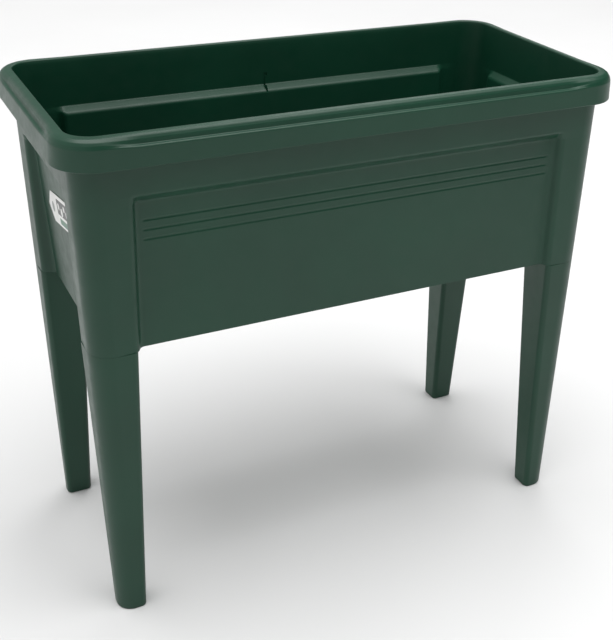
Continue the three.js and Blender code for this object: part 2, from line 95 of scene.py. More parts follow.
# Filling tube and lid.
FILL_X, FILL_Y, FILL_R, FILL_BOTTOM, FILL_TOP = 258.0, -112.0, 22.0, 386.0, 600.0
MOUTH_R, MOUTH_DEPTH, MOUTH_TAPER = 27.0, 8.0, 22.0
COLLAR_Z, COLLAR_THICK, FILL_COLLAR = PLATE_TOP + SEAT_GAP, 2.0, 6.0
HINGE_Y, HINGE_Z, EAR_X, PIN_R = FILL_Y + MOUTH_R + 5, FILL_TOP + 2.4, 9.0, 1.5
EAR_THICK, EAR_REACH, EAR_DROP = 3.0, 3.5, 8.0
LID_LOW, LID_THICK, LID_HUB_R = FILL_TOP + FIT_GAP, 3.0, 2.4

# Level gauge and float.
GAUGE_X, GAUGE_Y, GAUGE_R, GAUGE_BOTTOM, GAUGE_TOP = 200.0, -122.0, 11.0, 383.0, 562.0
GAUGE_COLLAR, CAP_TOP, SPIGOT_LENGTH = 4.0, 612.0, 8.0
FLOAT_LOW, FLOAT_R, FLOAT_HEIGHT = GAUGE_BOTTOM + 1, 7.7, 32.0
ROD_R, ROD_TOP, TIP_R, TIP_LENGTH = 1.8, 560.0, 4.0, 14.0

# Drain plug and its seal ring.
DRAIN_HOLE_R, SHANK_R, FLANGE_R, FLANGE_THICK = 11.0, 10.0, 18.0, 3.0
SEAL_R, SEAL_THICK = 15.5, 2.5
SEAL_BOTTOM = TROUGH_BOTTOM - SEAT_GAP - SEAL_THICK
FLANGE_TOP = SEAL_BOTTOM - SEAT_GAP
FLANGE_BOTTOM = FLANGE_TOP - FLANGE_THICK
GRIP_HALF_X, GRIP_HALF_Y, GRIP_HEIGHT = 13.0, 2.5, 10.0

# Label on the left end panel.
LABEL_LENGTH, LABEL_HEIGHT, LABEL_POINT = 128.0, 40.0, 20.0
LABEL_Y, LABEL_Z, LABEL_TILT = -10.0, 507.0, 10.0
LABEL_BACK, LABEL_FACE, INK_BACK, INK_FACE = 0.35, 0.95, 0.9, 1.0


# ---------------------------------------------------------------- helpers

def lerp(a, b, t):
    return a + (b - a) * t


def smooth(t):
    t = min(1.0, max(0.0, t))
    return t * t * (3 - 2 * t)


def rounded(points, radii, steps=6):
    """A polyline with an arc at each inner corner whose radius is not zero."""
    out = [tuple(points[0])]
    for before, corner, after, r in zip(points, points[1:], points[2:], radii):
        p, a, b = Vector(corner), Vector(before), Vector(after)
        da, db = (a - p), (b - p)
        la, lb = da.length, db.length
        da, db = da / la, db / lb
        angle = da.angle(db)
        if r <= 0 or angle > math.pi - 1e-3:
            out.append(tuple(corner))
            continue
        reach = min(r / math.tan(angle / 2), 0.49 * la, 0.49 * lb)
        r = reach * math.tan(angle / 2)
        middle = (da + db).normalized()
        centre = p + middle * (r / math.sin(angle / 2))
        start, end = p + da * reach - centre, p + db * reach - centre
        turn = start.angle_signed(end)
        for k in range(steps + 1):
            v = start.copy()
            v.rotate(Matrix.Rotation(-turn * k / steps, 2))
            out.append(tuple(centre + v))
    out.append(tuple(points[-1]))
    return out


def make_mesh(name, verts, faces, scale=MM):
    """An object from points in millimetres, or in other units with their own scale."""
    mesh = bpy.data.meshes.new(name)
    mesh.from_pydata([tuple(float(c) * scale for c in v) for v in verts], [], faces)
    mesh.validate()
    obj = bpy.data.objects.new(name, mesh)
    bpy.context.scene.collection.objects.link(obj)
    return obj


def rings_to_mesh(name, rings, closed_path=False):
    """A closed skin through rings of equal length, with an n-gon on the first and the last."""
    n = len(rings[0])
    verts = [p for ring in rings for p in ring]
    faces = []
    levels = len(rings)
    for k in range(levels if closed_path else levels - 1):
        a0, b0 = k * n, (k + 1) % levels * n
        for i in range(n):
            j = (i + 1) % n
            faces.append((a0 + i, a0 + j, b0 + j, b0 + i))
    if not closed_path:
        faces.append(tuple(reversed(range(n))))
        faces.append(tuple(range((levels - 1) * n, levels * n)))
    return make_mesh(name, verts, faces)


def lathe(name, profile, x, y, steps=96):
    """A solid of revolution from a closed profile of (radius, height). Full ones start just off the axis."""
    turn = [2 * math.pi * i / steps for i in range(steps)]
    rings = [[(x + r * math.cos(t), y + r * math.sin(t), z) for t in turn] for r, z in profile]
    return rings_to_mesh(name, rings, closed_path=True)


def prism(name, outline, low, high, frame_of=None):
    """An outline pushed from low to high along Z, or along the third axis of frame_of."""
    rings = [[(px, py, low) for px, py in outline], [(px, py, high) for px, py in outline]]
    obj = rings_to_mesh(name, rings)
    if frame_of is not None:
        obj.data.transform(frame_of)
    fix_normals(obj)
    return obj


def fix_normals(obj):
    """Turns every face outwards."""
    bm = bmesh.new()
    bm.from_mesh(obj.data)
    bmesh.ops.recalc_face_normals(bm, faces=bm.faces)
    bm.to_mesh(obj.data)
    bm.free()


def circle(x, y, r, steps=64):
    return [(x + r * math.cos(2 * math.pi * i / steps), y + r * math.sin(2 * math.pi * i / steps))
            for i in range(steps)]


def capsule(x, y, width, length, steps=8):
    """A slot with round ends, lying along Y."""
    r, h = width / 2, (length - width) / 2
    top = [(x + r * math.cos(math.pi * i / steps), y + h + r * math.sin(math.pi * i / steps))
           for i in range(steps + 1)]
    low = [(x - r * math.cos(math.pi * i / steps), y - h - r * math.sin(math.pi * i / steps))
           for i in range(steps + 1)]
    return top + low


def rectangle(x0, x1, y0, y1, r=0.0, steps=6):
    """An outline with corners of radius r, or sharp ones."""
    if r <= 0:
        return [(x0, y0), (x1, y0), (x1, y1), (x0, y1)]
    out = []
    corners = ((x1 - r, y0 + r, -90), (x1 - r, y1 - r, 0), (x0 + r, y1 - r, 90), (x0 + r, y0 + r, 180))
    for cx, cy, start in corners:
        for i in range(steps + 1):
            a = math.radians(start + 90 * i / steps)
            out.append((cx + r * math.cos(a), cy + r * math.sin(a)))
    return out


def bake(obj):
    """Puts the result of an object's modifiers into its mesh."""
    bpy.context.view_layer.update()
    graph = bpy.context.evaluated_depsgraph_get()
    mesh = bpy.data.meshes.new_from_object(obj.evaluated_get(graph), depsgraph=graph)
    mesh.name = obj.name
    old = obj.data
    obj.modifiers.clear()
    obj.data = mesh
    bpy.data.meshes.remove(old)


def join(name, objects):
    """Several closed shells as one mesh."""
    bm = bmesh.new()
    for obj in objects:
        bm.from_mesh(obj.data)
        bpy.data.objects.remove(obj)
    mesh = bpy.data.meshes.new(name)
    bm.to_mesh(mesh)
    bm.free()
    out = bpy.data.objects.new(name, mesh)
    bpy.context.scene.collection.objects.link(out)
    return out


def carve(obj, tool, operation="DIFFERENCE"):
    """Cuts, joins or intersects obj with a tool, which is used up."""
    mod = obj.modifiers.new("carve", "BOOLEAN")
    mod.operation = operation
    mod.solver = "EXACT"
    mod.object = tool
    bake(obj)
    bpy.data.objects.remove(tool)


def bevel(obj, width, angle=35, segments=2):
    """Rounds the edges sharper than an angle in degrees."""
    mod = obj.modifiers.new("bevel", "BEVEL")
    mod.width = width * MM
    mod.segments = segments
    mod.limit_method = "ANGLE"
    mod.angle_limit = math.radians(angle)
    mod.use_clamp_overlap = True
    bake(obj)


def soften(obj, angle=40):
    """Smooth shading with crisp edges, and flats that stay flat beside small roundings."""
    obj.data.shade_smooth()
    obj.data.set_sharp_from_angle(angle=math.radians(angle))
    mod = obj.modifiers.new("flats", "WEIGHTED_NORMAL")
    mod.keep_sharp = True
    mod.weight = 60


def finish_piece(obj, materials, body, nodes, angle=40):
    """Gives a piece its shading and materials, ties it to its body and hides the CAD nodes it replaces."""
    soften(obj, angle)
    obj.data.materials.clear()
    for material in materials:
        obj.data.materials.append(material)
    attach(obj, body)
    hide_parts(*nodes)


# ---------------------------------------------------------------- materials

def new_material(name):
    mat = bpy.data.materials.new(name)
    mat.use_nodes = True
    return mat, mat.node_tree.nodes, mat.node_tree.links, mat.node_tree.nodes["Principled BSDF"]


def noise(nodes, links, coords, scale, detail=2.0, roughness=0.5):
    n = nodes.new("ShaderNodeTexNoise")
    n.inputs["Scale"].default_value = scale
    n.inputs["Detail"].default_value = detail
    n.inputs["Roughness"].default_value = roughness
    links.new(coords, n.inputs["Vector"])
    return n.outputs["Fac"]


def ranged(nodes, links, value, low, high, source=(0.3, 0.7)):
    """A value mapped from source to low and high. Most noise lies between 0.3 and 0.7."""
    m = nodes.new("ShaderNodeMapRange")
    m.inputs["From Min"].default_value, m.inputs["From Max"].default_value = source
    m.inputs["To Min"].default_value, m.inputs["To Max"].default_value = low, high
    links.new(value, m.inputs["Value"])
    return m.outputs["Result"]


def mixed(nodes, links, factor, a, b):
    """A mix of two colours, each one a tuple or another node's output."""
    m = nodes.new("ShaderNodeMix")
    m.data_type = "RGBA"
    links.new(factor, m.inputs[0])
    for socket, value in ((m.inputs[6], a), (m.inputs[7], b)):
        if isinstance(value, tuple):
            socket.default_value = (*value, 1)
        else:
            links.new(value, socket)
    return m.outputs[2]


def bumped(nodes, links, height, strength, distance):
    """A bump node with its height linked; distance is in metres."""
    b = nodes.new("ShaderNodeBump")
    b.inputs["Strength"].default_value = strength
    b.inputs["Distance"].default_value = distance
    links.new(height, b.inputs["Height"])
    return b


def moulded(name, colour, roughness, specular=0.5, grain=0.35):
    """Injection-moulded plastic: fine satin grain, faint flow marks and uneven gloss."""
    mat, nodes, links, bsdf = new_material(name)
    coords = nodes.new("ShaderNodeTexCoord").outputs["Object"]
    flow = noise(nodes, links, coords, scale=7.0, detail=3.0)
    patches = noise(nodes, links, coords, scale=55.0, detail=3.0, roughness=0.6)
    fine = noise(nodes, links, coords, scale=1000.0 / 0.35, detail=2.0, roughness=0.6)
    light = tuple(c * 1.10 for c in colour)
    dark = tuple(c * 0.90 for c in colour)
    speck = tuple(c * 1.35 + 0.002 for c in colour)
    base = mixed(nodes, links, ranged(nodes, links, flow, 0.0, 1.0), dark, light)
    speckles = ranged(nodes, links, fine, 0.0, 0.35, (0.58, 0.75))
    links.new(mixed(nodes, links, speckles, base, speck), bsdf.inputs["Base Color"])
    links.new(ranged(nodes, links, patches, roughness - 0.05, roughness + 0.05), bsdf.inputs["Roughness"])
    bsdf.inputs["Specular IOR Level"].default_value = specular
    grain_bump = bumped(nodes, links, fine, strength=grain, distance=0.00006)
    waves = noise(nodes, links, coords, scale=16.0, detail=1.0)
    wave_bump = bumped(nodes, links, waves, strength=0.25, distance=0.0006)
    links.new(wave_bump.outputs["Normal"], grain_bump.inputs["Normal"])
    links.new(grain_bump.outputs["Normal"], bsdf.inputs["Normal"])
    return mat


def foam():
    """Closed-cell foam: rounded beads with darker joints."""
    mat, nodes, links, bsdf = new_material("foam_beads")
    coords = nodes.new("ShaderNodeTexCoord").outputs["Object"]
    cells = nodes.new("ShaderNodeTexVoronoi")
    cells.inputs["Scale"].default_value = 420.0
    links.new(coords, cells.inputs["Vector"])
    bead = ranged(nodes, links, cells.outputs["Distance"], 1.0, 0.0, (0.0, 0.7))
    joint, top = (0.62, 0.60, 0.53), (0.86, 0.85, 0.80)
    links.new(mixed(nodes, links, bead, joint, top), bsdf.inputs["Base Color"])
    links.new(ranged(nodes, links, bead, 0.92, 0.75, (0.0, 1.0)), bsdf.inputs["Roughness"])
    bump = bumped(nodes, links, bead, strength=0.6, distance=0.0004)
    links.new(bump.outputs["Normal"], bsdf.inputs["Normal"])
    return mat


def rubber():
    """Matt black rubber with a little dust."""
    mat, nodes, links, bsdf = new_material("seal_rubber_matt")
    coords = nodes.new("ShaderNodeTexCoord").outputs["Object"]
    dust = noise(nodes, links, coords, scale=90.0, detail=4.0)
    fine = noise(nodes, links, coords, scale=2600.0)
    dusty = ranged(nodes, links, dust, 0.0, 1.0, (0.45, 0.75))
    clean_black, dust_grey = (0.010, 0.010, 0.010), (0.035, 0.034, 0.032)
    links.new(mixed(nodes, links, dusty, clean_black, dust_grey), bsdf.inputs["Base Color"])
    links.new(ranged(nodes, links, dust, 0.72, 0.88), bsdf.inputs["Roughness"])
    bump = bumped(nodes, links, fine, strength=0.4, distance=0.0001)
    links.new(bump.outputs["Normal"], bsdf.inputs["Normal"])
    return mat


def clear():
    """Clear plastic with a faint uneven haze."""
    mat, nodes, links, bsdf = new_material("clear_plastic_window")
    coords = nodes.new("ShaderNodeTexCoord").outputs["Object"]
    haze = noise(nodes, links, coords, scale=120.0, detail=4.0)
    clearness = ranged(nodes, links, haze, 0.0, 1.0)
    hazy, bright = (0.90, 0.95, 0.95), (0.97, 0.99, 0.99)
    links.new(mixed(nodes, links, clearness, hazy, bright), bsdf.inputs["Base Color"])
    links.new(ranged(nodes, links, haze, 0.05, 0.14), bsdf.inputs["Roughness"])
    bsdf.inputs["Transmission Weight"].default_value = 1.0
    bsdf.inputs["IOR"].default_value = 1.49
    return mat


def printed(name, colour, roughness=0.28):
    """Label film or the ink on it, with a slight fibre and an uneven tone."""
    mat, nodes, links, bsdf = new_material(name)
    coords = nodes.new("ShaderNodeTexCoord").outputs["Object"]
    fibre = noise(nodes, links, coords, scale=900.0, detail=3.0)
    tone = ranged(nodes, links, noise(nodes, links, coords, scale=40.0), 0.0, 1.0)
    dark = tuple(c * 0.90 for c in colour)
    links.new(mixed(nodes, links, tone, dark, colour), bsdf.inputs["Base Color"])
    links.new(ranged(nodes, links, fibre, roughness, roughness + 0.12), bsdf.inputs["Roughness"])
    bump = bumped(nodes, links, fibre, strength=0.2, distance=0.00004)
    links.new(bump.outputs["Normal"], bsdf.inputs["Normal"])
    return mat


GREEN = moulded("green_plastic_satin", (0.0040, 0.0440, 0.0224), 0.40, specular=0.40)
GREY = moulded("grey_plastic_grained", (0.024, 0.026, 0.025), 0.52, grain=0.5)
RED = moulded("red_plastic_gloss", (0.42, 0.016, 0.012), 0.30, grain=0.15)
FOAM, RUBBER, CLEAR = foam(), rubber(), clear()
PAPER = printed("label_paper", (0.84, 0.84, 0.82))
INK_DARK = printed("label_ink_dark", (0.030, 0.034, 0.034))
INK_GREEN = printed("label_ink_green", (0.040, 0.17, 0.095))
INK_GREY = printed("label_ink_grey", (0.30, 0.32, 0.31))


# ---------------------------------------------------------------- trough

def column_at(z):
    """Half length, half depth and corner radius of the corner columns at a height."""
    return lerp(COLUMN_FOOT, COLUMN_TOP, z / SKIRT_BOTTOM)


def panel_at(z):
    """Half length and half depth of the recessed panels at a height."""
    t = (z - TROUGH_BOTTOM) / (SHOULDER_OUTSIDE[0] - TROUGH_BOTTOM)
    return lerp(PANEL_BOTTOM, PANEL_TOP, t)


def recess_edge(inner):
    """Positions along a side and recess weights, from the panel over the rounded edge to the column."""
    path = rounded([(inner - 16, RECESS_DEPTH), (inner - RECESS_DRAFT, RECESS_DEPTH), (inner + 1, 0.0),
                    (inner + 13, 0.0)], [7.0, 9.0], 10)
    return [(s, d / RECESS_DEPTH) for s, d in path[1:-1]]


# Positions along the middle of a long and a short side, and how the grooves run out at the end.
LONG_MIDDLE = [60.0, 130.0, 190.0, 235.0, 262.0, 272.0, 276.5, 278.0, 279.5, 281.0]
SHORT_MIDDLE = [25.0, 55.0, 76.0, 87.0]
GROOVE_WEIGHT = {276.5: 1.0, 278.0: 0.8, 279.5: 0.4, 281.0: 0.0}
LONG_EDGE = recess_edge(COLUMN_INNER[0])
SHORT_EDGE = recess_edge(COLUMN_INNER[1])
FLAT_STEPS = (0.25, 0.5, 0.75)
ARC_STEPS = 24


def side(middle, edge, arc_start, inset, face, panel_drop, recess, groove):
    """One half side of a ring, as (position along it, distance of the face from the middle plane)."""
    out = []
    for s in middle:
        g = groove * GROOVE_WEIGHT.get(s, 1.0)
        out.append((s, face - recess * panel_drop - g))
    for s, w in edge:
        out.append((s + inset, face - recess * (w * panel_drop + (1 - w) * COLUMN_STEP)))
    last = edge[-1][0] + inset
    for t in FLAT_STEPS:
        s = lerp(last, arc_start, t)
        out.append((s, face - recess * COLUMN_STEP * smooth(1 - t)))
    return out


def quarter(kind, z, inset, recess=0.0, groove=0.0):
    """A quarter ring from the middle of a long side to the middle of a short side."""
    if kind == "rim":
        x, y, r = LENGTH / 2 - inset, DEPTH / 2 - inset, RIM_CORNER_R - inset
        drop_x = drop_y = 0.0
    else:
        column, panel = column_at(z), panel_at(z)
        x, y, r = column - inset
        drop_x, drop_y = column[0] - panel[0], column[1] - panel[1]
    # The edge positions move with the wall, so the rim takes the same ones.
    shift = 0.0 if kind == "rim" else inset
    long_side = side(LONG_MIDDLE, LONG_EDGE, x - r, shift, y, drop_y, recess, groove)
    short_side = side(SHORT_MIDDLE, SHORT_EDGE, y - r, shift, x, drop_x, recess, 0.0)
    arc = []
    for i in range(ARC_STEPS + 1):
        a = math.pi / 2 * (1 - i / ARC_STEPS)
        arc.append((x - r + r * math.cos(a), y - r + r * math.sin(a)))
    return np.array(long_side + arc + [(b, a) for a, b in reversed(short_side)])


def ring(kind, z, inset, recess=0.0, groove=0.0):
    """A full ring of the wall or the rim, mirrored from a quarter."""
    q = quarter(kind, z, inset, recess, groove)
    flat = np.concatenate([q * (1, -1), q[::-1] * (1, 1), q * (-1, 1), q[::-1] * (-1, -1)])
    return [(px, py, z) for px, py in flat]


def wall_rows(points, radii, inset, steps=6):
    """Rings for a vertical profile given as (height, recess depth)."""
    path = rounded(points, radii, steps)
    return [ring("wall", z, inset, d / RECESS_DEPTH) for z, d in path[1:-1]]


# Profile of the rim as (inset, height): the inside of the skirt, its lip, its face and the roll. On the
# sides a shallow step parts the roll from the skirt. Round the corners the two run together.
SKIRT_LIP = [(8.0, SKIRT_TOP), (3.0, SKIRT_TOP), (3.0, SKIRT_BOTTOM), (0.2, SKIRT_BOTTOM)]
SIDE_ROLL = [(0.9, SKIRT_TOP + 0.3), (5.6, SKIRT_TOP + 0.6), (6.6, HEIGHT - 6), (9.2, HEIGHT - 1.0),
             (15.4, HEIGHT)]
CORNER_ROLL = [(0.9, SKIRT_TOP + 1.0), (2.4, SKIRT_TOP + 5.0), (4.4, HEIGHT - 3.8), (8.4, HEIGHT - 0.9),
               (15.4, HEIGHT)]
SIDE_RADII = [2.0, 1.3, 1.3, 3.4, 1.6, 4.5, 7.0]
CORNER_RADII = [2.0, 1.3, 1.3, 6.0, 5.0, 5.0, 7.0]
STEP_FADE = 45.0
LONG_FACE = 8.0


def lip_profile(roll, radii):
    """Points from under the rim over the skirt to the roll, with a few more on the long faces."""
    path = rounded(SKIRT_LIP + roll, radii, 8)[1:-1]
    out = []
    for a, b in zip(path, path[1:]):
        out.append(a)
        if abs(a[1] - b[1]) > LONG_FACE:
            out += [(lerp(a[0], b[0], t), lerp(a[1], b[1], t)) for t in (0.08, 0.5, 0.92)]
    return out + [path[-1]]


def rim_rings():
    """Rings of the rim: the side profile passes into the corner profile near each corner."""
    rings = []
    arc_start = np.array((LENGTH / 2 - RIM_CORNER_R, DEPTH / 2 - RIM_CORNER_R))
    sides, corners = lip_profile(SIDE_ROLL, SIDE_RADII), lip_profile(CORNER_ROLL, CORNER_RADII)
    for (side_inset, side_z), (corner_inset, corner_z) in zip(sides, corners):
        side_ring = np.array(ring("rim", side_z, side_inset))
        corner_ring = np.array(ring("rim", corner_z, corner_inset))
        away = (arc_start - np.abs(corner_ring[:, :2])).max(axis=1)
        weight = np.array([smooth(d / STEP_FADE) for d in away])
        rings.append([tuple(p) for p in corner_ring + (side_ring - corner_ring) * weight[:, None]])
    return rings


# Heights of plain rings between the features, from the bottom up outside and down again inside.
PANEL_ROWS = (384.0, 400.0, 440.0, 480.0, 504.0)
ABOVE_GROOVES = (550.0, 560.0)
UNDER_SKIRT = (580.0, 600.0, 620.0, 634.0)
INSIDE_TOP = (646.0, 630.0, 610.0, 595.0)
INSIDE_PANEL = (560.0, 500.0, 450.0, 400.0)
SHOULDER_START = 545.0


def outside_rings():
    """The outer wall: bottom edge, panels with three grooves, shoulder, and the corner under the rim."""
    bottom = rounded([(TROUGH_BOTTOM, 12.0), (TROUGH_BOTTOM, 0.0), (TROUGH_BOTTOM + 12, 0.0)], [0.2], 3)
    rings = [ring("wall", z, inset, 1.0) for z, inset in bottom[1:-1]]
    rings += [ring("wall", z, 0.0, 1.0) for z in PANEL_ROWS]
    for centre in GROOVES:
        for k in range(-GROOVE_STEPS, GROOVE_STEPS + 1):
            t = k / GROOVE_STEPS
            depth = GROOVE_DEPTH * math.cos(math.pi / 2 * t) ** 2
            rings.append(ring("wall", centre + t * GROOVE_HALF, 0.0, 1.0, depth))
    rings += [ring("wall", z, 0.0, 1.0) for z in ABOVE_GROOVES]
    low, high = SHOULDER_OUTSIDE
    shoulder = [(SHOULDER_START, RECESS_DEPTH), (low, RECESS_DEPTH), (high, 0.0), (600, 0.0)]
    rings += wall_rows(shoulder, [6.0, 6.0], 0.0)
    rings += [ring("wall", z, 0.0) for z in UNDER_SKIRT]
    ceiling = rounded([(0.0, 620.0), (0.0, SKIRT_TOP), (-8.0, SKIRT_TOP)], [3.0], 5)
    return rings + [ring("wall", z, inset) for inset, z in ceiling[1:-1]]


def inside_rings():
    """The inner edge of the rim, the inner wall, the shoulder, the panels and the floor's edge."""
    edge = LENGTH / 2 - (column_at(HEIGHT)[0] - WALL)
    inner = rounded([(12.0, HEIGHT), (edge, HEIGHT), (edge, HEIGHT - 12)], [2.6], 7)
    rings = [ring("rim", z, inset) for inset, z in inner[1:-1]]
    rings += [ring("wall", z, WALL) for z in INSIDE_TOP]
    low, high = SHOULDER_INSIDE
    shoulder = [(612, 0.0), (high, 0.0), (low, RECESS_DEPTH), (SHOULDER_START, RECESS_DEPTH)]
    rings += wall_rows(shoulder, [2.0, 6.0], WALL, 8)
    rings += [ring("wall", z, WALL, 1.0) for z in INSIDE_PANEL]
    floor_edge = rounded([(WALL, 395.0), (WALL, FLOOR_TOP), (WALL + 14, FLOOR_TOP)], [5.0], 6)
    return rings + [ring("wall", z, inset, 1.0) for inset, z in floor_edge[1:-1]]


def trough():
    body = rings_to_mesh("trough_body", outside_rings() + rim_rings() + inside_rings())
    carve(body, socket_blocks(), "UNION")
    for tool in (join("sockets", leg_sockets()), *small_cuts()):
        carve(body, tool)
    finish_piece(body, [GREEN], "planter", ["trough"], 34)


CORNERS = {"front_right": (1, -1), "back_right": (1, 1), "back_left": (-1, 1), "front_left": (-1, -1)}
OUT_OF_THE_WAY = 400.0


def socket_blocks():
    """Solid floor over each leg socket, kept within the middle of the trough's wall."""
    middle = rings_to_mesh("middle", [ring("wall", FLOOR_TOP - WALL / 2, WALL / 2, 1.0),
                                      ring("wall", SOCKET_ROOF, WALL / 2, 1.0)])
    boxes = []
    for name, (sx, sy) in CORNERS.items():
        x0, x1 = sorted((sx * (COLUMN_INNER[0] - WALL), sx * OUT_OF_THE_WAY))
        y0, y1 = sorted((sy * (COLUMN_INNER[1] - WALL), sy * OUT_OF_THE_WAY))
        boxes.append(prism("block_" + name, rectangle(x0, x1, y0, y1), FLOOR_TOP - 11, SOCKET_ROOF + 19))
    carve(middle, join("blocks", boxes), "INTERSECT")
    return middle


def leg_outline(corner, z, inset):
    """Outline of a leg: a large outer radius that carries on the column, and small inner ones."""
    sx, sy = CORNERS[corner]
    x1, y1, big = column_at(z) - inset
    t = min(1.0, z / TROUGH_BOTTOM)
    x0 = lerp(FOOT_INNER[0], COLUMN_INNER[0], t) + inset
    y0 = lerp(FOOT_INNER[1], COLUMN_INNER[1], t) + inset
    small = LEG_SMALL_R - inset * 0.6
    arcs = ((x0 + small, y0 + small, small, 180, 7), (x1 - small, y0 + small, small, 270, 7),
            (x1 - big, y1 - big, big, 0, 20), (x0 + small, y1 - small, small, 90, 7))
    out = []
    for cx, cy, r, start, steps in arcs:
        for i in range(steps + 1):
            a = math.radians(start + 90 * i / steps)
            out.append((sx * (cx + r * math.cos(a)), sy * (cy + r * math.sin(a)), z))
    return out if sx * sy > 0 else out[::-1]


def leg_sockets():
    """Cutters for the sockets, as long as the plugs need."""
    return [rings_to_mesh("socket_" + corner, [leg_outline(corner, TROUGH_BOTTOM - 2, WALL),
                                               leg_outline(corner, SOCKET_TOP, WALL)])
            for corner in CORNERS]


def small_cuts():
    """Drain hole, overflow hole and the notches at mid-length that take a divider board."""
    cuts = [prism("drain", circle(0, 0, DRAIN_HOLE_R), TROUGH_BOTTOM - 3, FLOOR_TOP + 3)]
    # Local X, Y, Z of these prisms are world X, Z and -Y.
    standing = Matrix(((1, 0, 0, 0), (0, 0, -1, 0), (0, 1, 0, 0), (0, 0, 0, 1)))
    cuts.append(prism("overflow", circle(OVERFLOW_X, OVERFLOW_Z, OVERFLOW_R, 32), -170, -120, standing))
    ledge = panel_at(SHOULDER_INSIDE[0])[1] - WALL
    wall = column_at(SHOULDER_INSIDE[1])[1] - WALL
    # Outlines as (X, height): a notch through the ledge and an L-shaped slot in the wall above it.
    notch = [(-2.8, 592.0), (-2.2, 583.0), (-0.9, 577.2), (0.9, 577.2), (2.6, 583.0), (3.4, 592.0)]
    slot = [(-1.4, 584.0), (1.4, 584.0), (1.4, 598.5), (4.2, 598.5), (4.2, 603.0), (-1.4, 603.0)]
    for way in (-1, 1):
        low, high = sorted((-way * (ledge - 4), -way * (wall - 1.8)))
        cuts.append(prism("notch", notch, low, high, standing))
        low, high = sorted((-way * (wall - 3), -way * (wall + 1.3)))
        cuts.append(prism("slot", slot, low, high, standing))
    return cuts


# ---------------------------------------------------------------- legs

# Profile of a leg as (height, inset from the column's face), from the foot up and down again inside.
LEG_FOOT = [(0.0, 3.2), (0.0, 2.0), (0.3, 1.0), (0.9, 0.35), (2.0, 0.0)]
LEG_SHAFT = [(z, 0.0) for z in (6.0, 60.0, 140.0, 220.0, 300.0, 360.0, 377.5)]
LEG_STEP = [(LEG_TOP - 0.06, 0.02), (LEG_TOP, 0.10), (LEG_TOP, 1.6), (LEG_TOP, PLUG_INSET - 0.3)]
LEG_PLUG = [(LEG_TOP + 0.3, PLUG_INSET), (382.0, PLUG_INSET), (410.0, PLUG_INSET), (430.0, PLUG_INSET),
            (432.0, PLUG_INSET + 0.3), (433.2, PLUG_INSET + 0.9), (PLUG_TOP, PLUG_INSET + 1.7)]
LEG_PLUG_INSIDE = [(PLUG_TOP, PLUG_INSET + 2.4), (433.0, PLUG_INSET + 2.7), (420.0, PLUG_INSET + 2.6),
                   (376.0, PLUG_INSET + 2.2)]
LEG_INSIDE = [(372.0, WALL + 0.8), (368.0, WALL + 0.5), (300.0, WALL + 0.5), (150.0, WALL + 0.7),
              (10.0, WALL + 1.0), (5.0, WALL + 1.6), (3.6, WALL + 2.8), (WALL, WALL + 4.4)]


def leg(corner):
    """A hollow tapered leg, closed at the foot, with the plug that goes up into the trough's socket."""
    path = LEG_FOOT + LEG_SHAFT + LEG_STEP + LEG_PLUG + LEG_PLUG_INSIDE + LEG_INSIDE
    obj = rings_to_mesh("leg_body_" + corner, [leg_outline(corner, z, inset) for z, inset in path])
    finish_piece(obj, [GREEN], "planter", ["leg_" + corner], 50)


# ---------------------------------------------------------------- false floor and wick cups

def plate(word, way):
    """One half of the false floor; way is -1 for the left one and 1 for the right one."""
    def along(x0, x1, y0, y1, r=0.0):
        x0, x1 = sorted((way * x0, way * x1))
        return rectangle(x0, x1, y0, y1, r)

    rib_low, rib_high = PLATE_BOTTOM - RIB_HEIGHT, PLATE_BOTTOM + 1
    outline = along(*PLATE_X, -PLATE_HALF_Y, PLATE_HALF_Y, PLATE_CORNER_R)
    obj = prism("separator_plate_" + word, outline, PLATE_BOTTOM, PLATE_TOP)
    ribs = [along(*RIB_ENDS, y - RIB_HALF, y + RIB_HALF) for y in (-RIB_Y, RIB_Y)]
    ribs += [along(x - RIB_HALF, x + RIB_HALF, -RIB_Y, RIB_Y) for x in CROSS_RIB_X]
    for rib in ribs:
        carve(obj, prism("rib", rib, rib_low, rib_high), "UNION")
    posts = join("posts", [prism("post", circle(way * POST_X, y, POST_R, 40), FLOOR_TOP + 0.5, rib_high)
                           for y in (-POST_Y, POST_Y)])
    carve(obj, posts, "UNION")

    tubes = [(FILL_X, FILL_Y, FILL_R), (GAUGE_X, GAUGE_Y, GAUGE_R)] if way > 0 else []
    low, high = rib_low - 1, PLATE_TOP + 1
    holes = [prism("hole", circle(way * x, 0, CUP_TOP_R + 0.8, 72), low, high) for x in CUP_X]
    holes += [prism("hole", circle(x, y, r + 0.5, 48), low, high) for x, y, r in tubes]
    for x in SLOT_X:
        for y in SLOT_Y:
            if all(math.hypot(x - tube_x, y - tube_y) > SLOT_TO_TUBE for tube_x, tube_y, _ in tubes):
                slot = capsule(way * x, y, SLOT_WIDTH, SLOT_LENGTH)
                holes.append(prism("slot", slot, PLATE_BOTTOM - 1, high))
    carve(obj, join("holes", holes))
    bevel(obj, 0.45)
    finish_piece(obj, [GREY], "separator_" + word, ["separator_" + word])


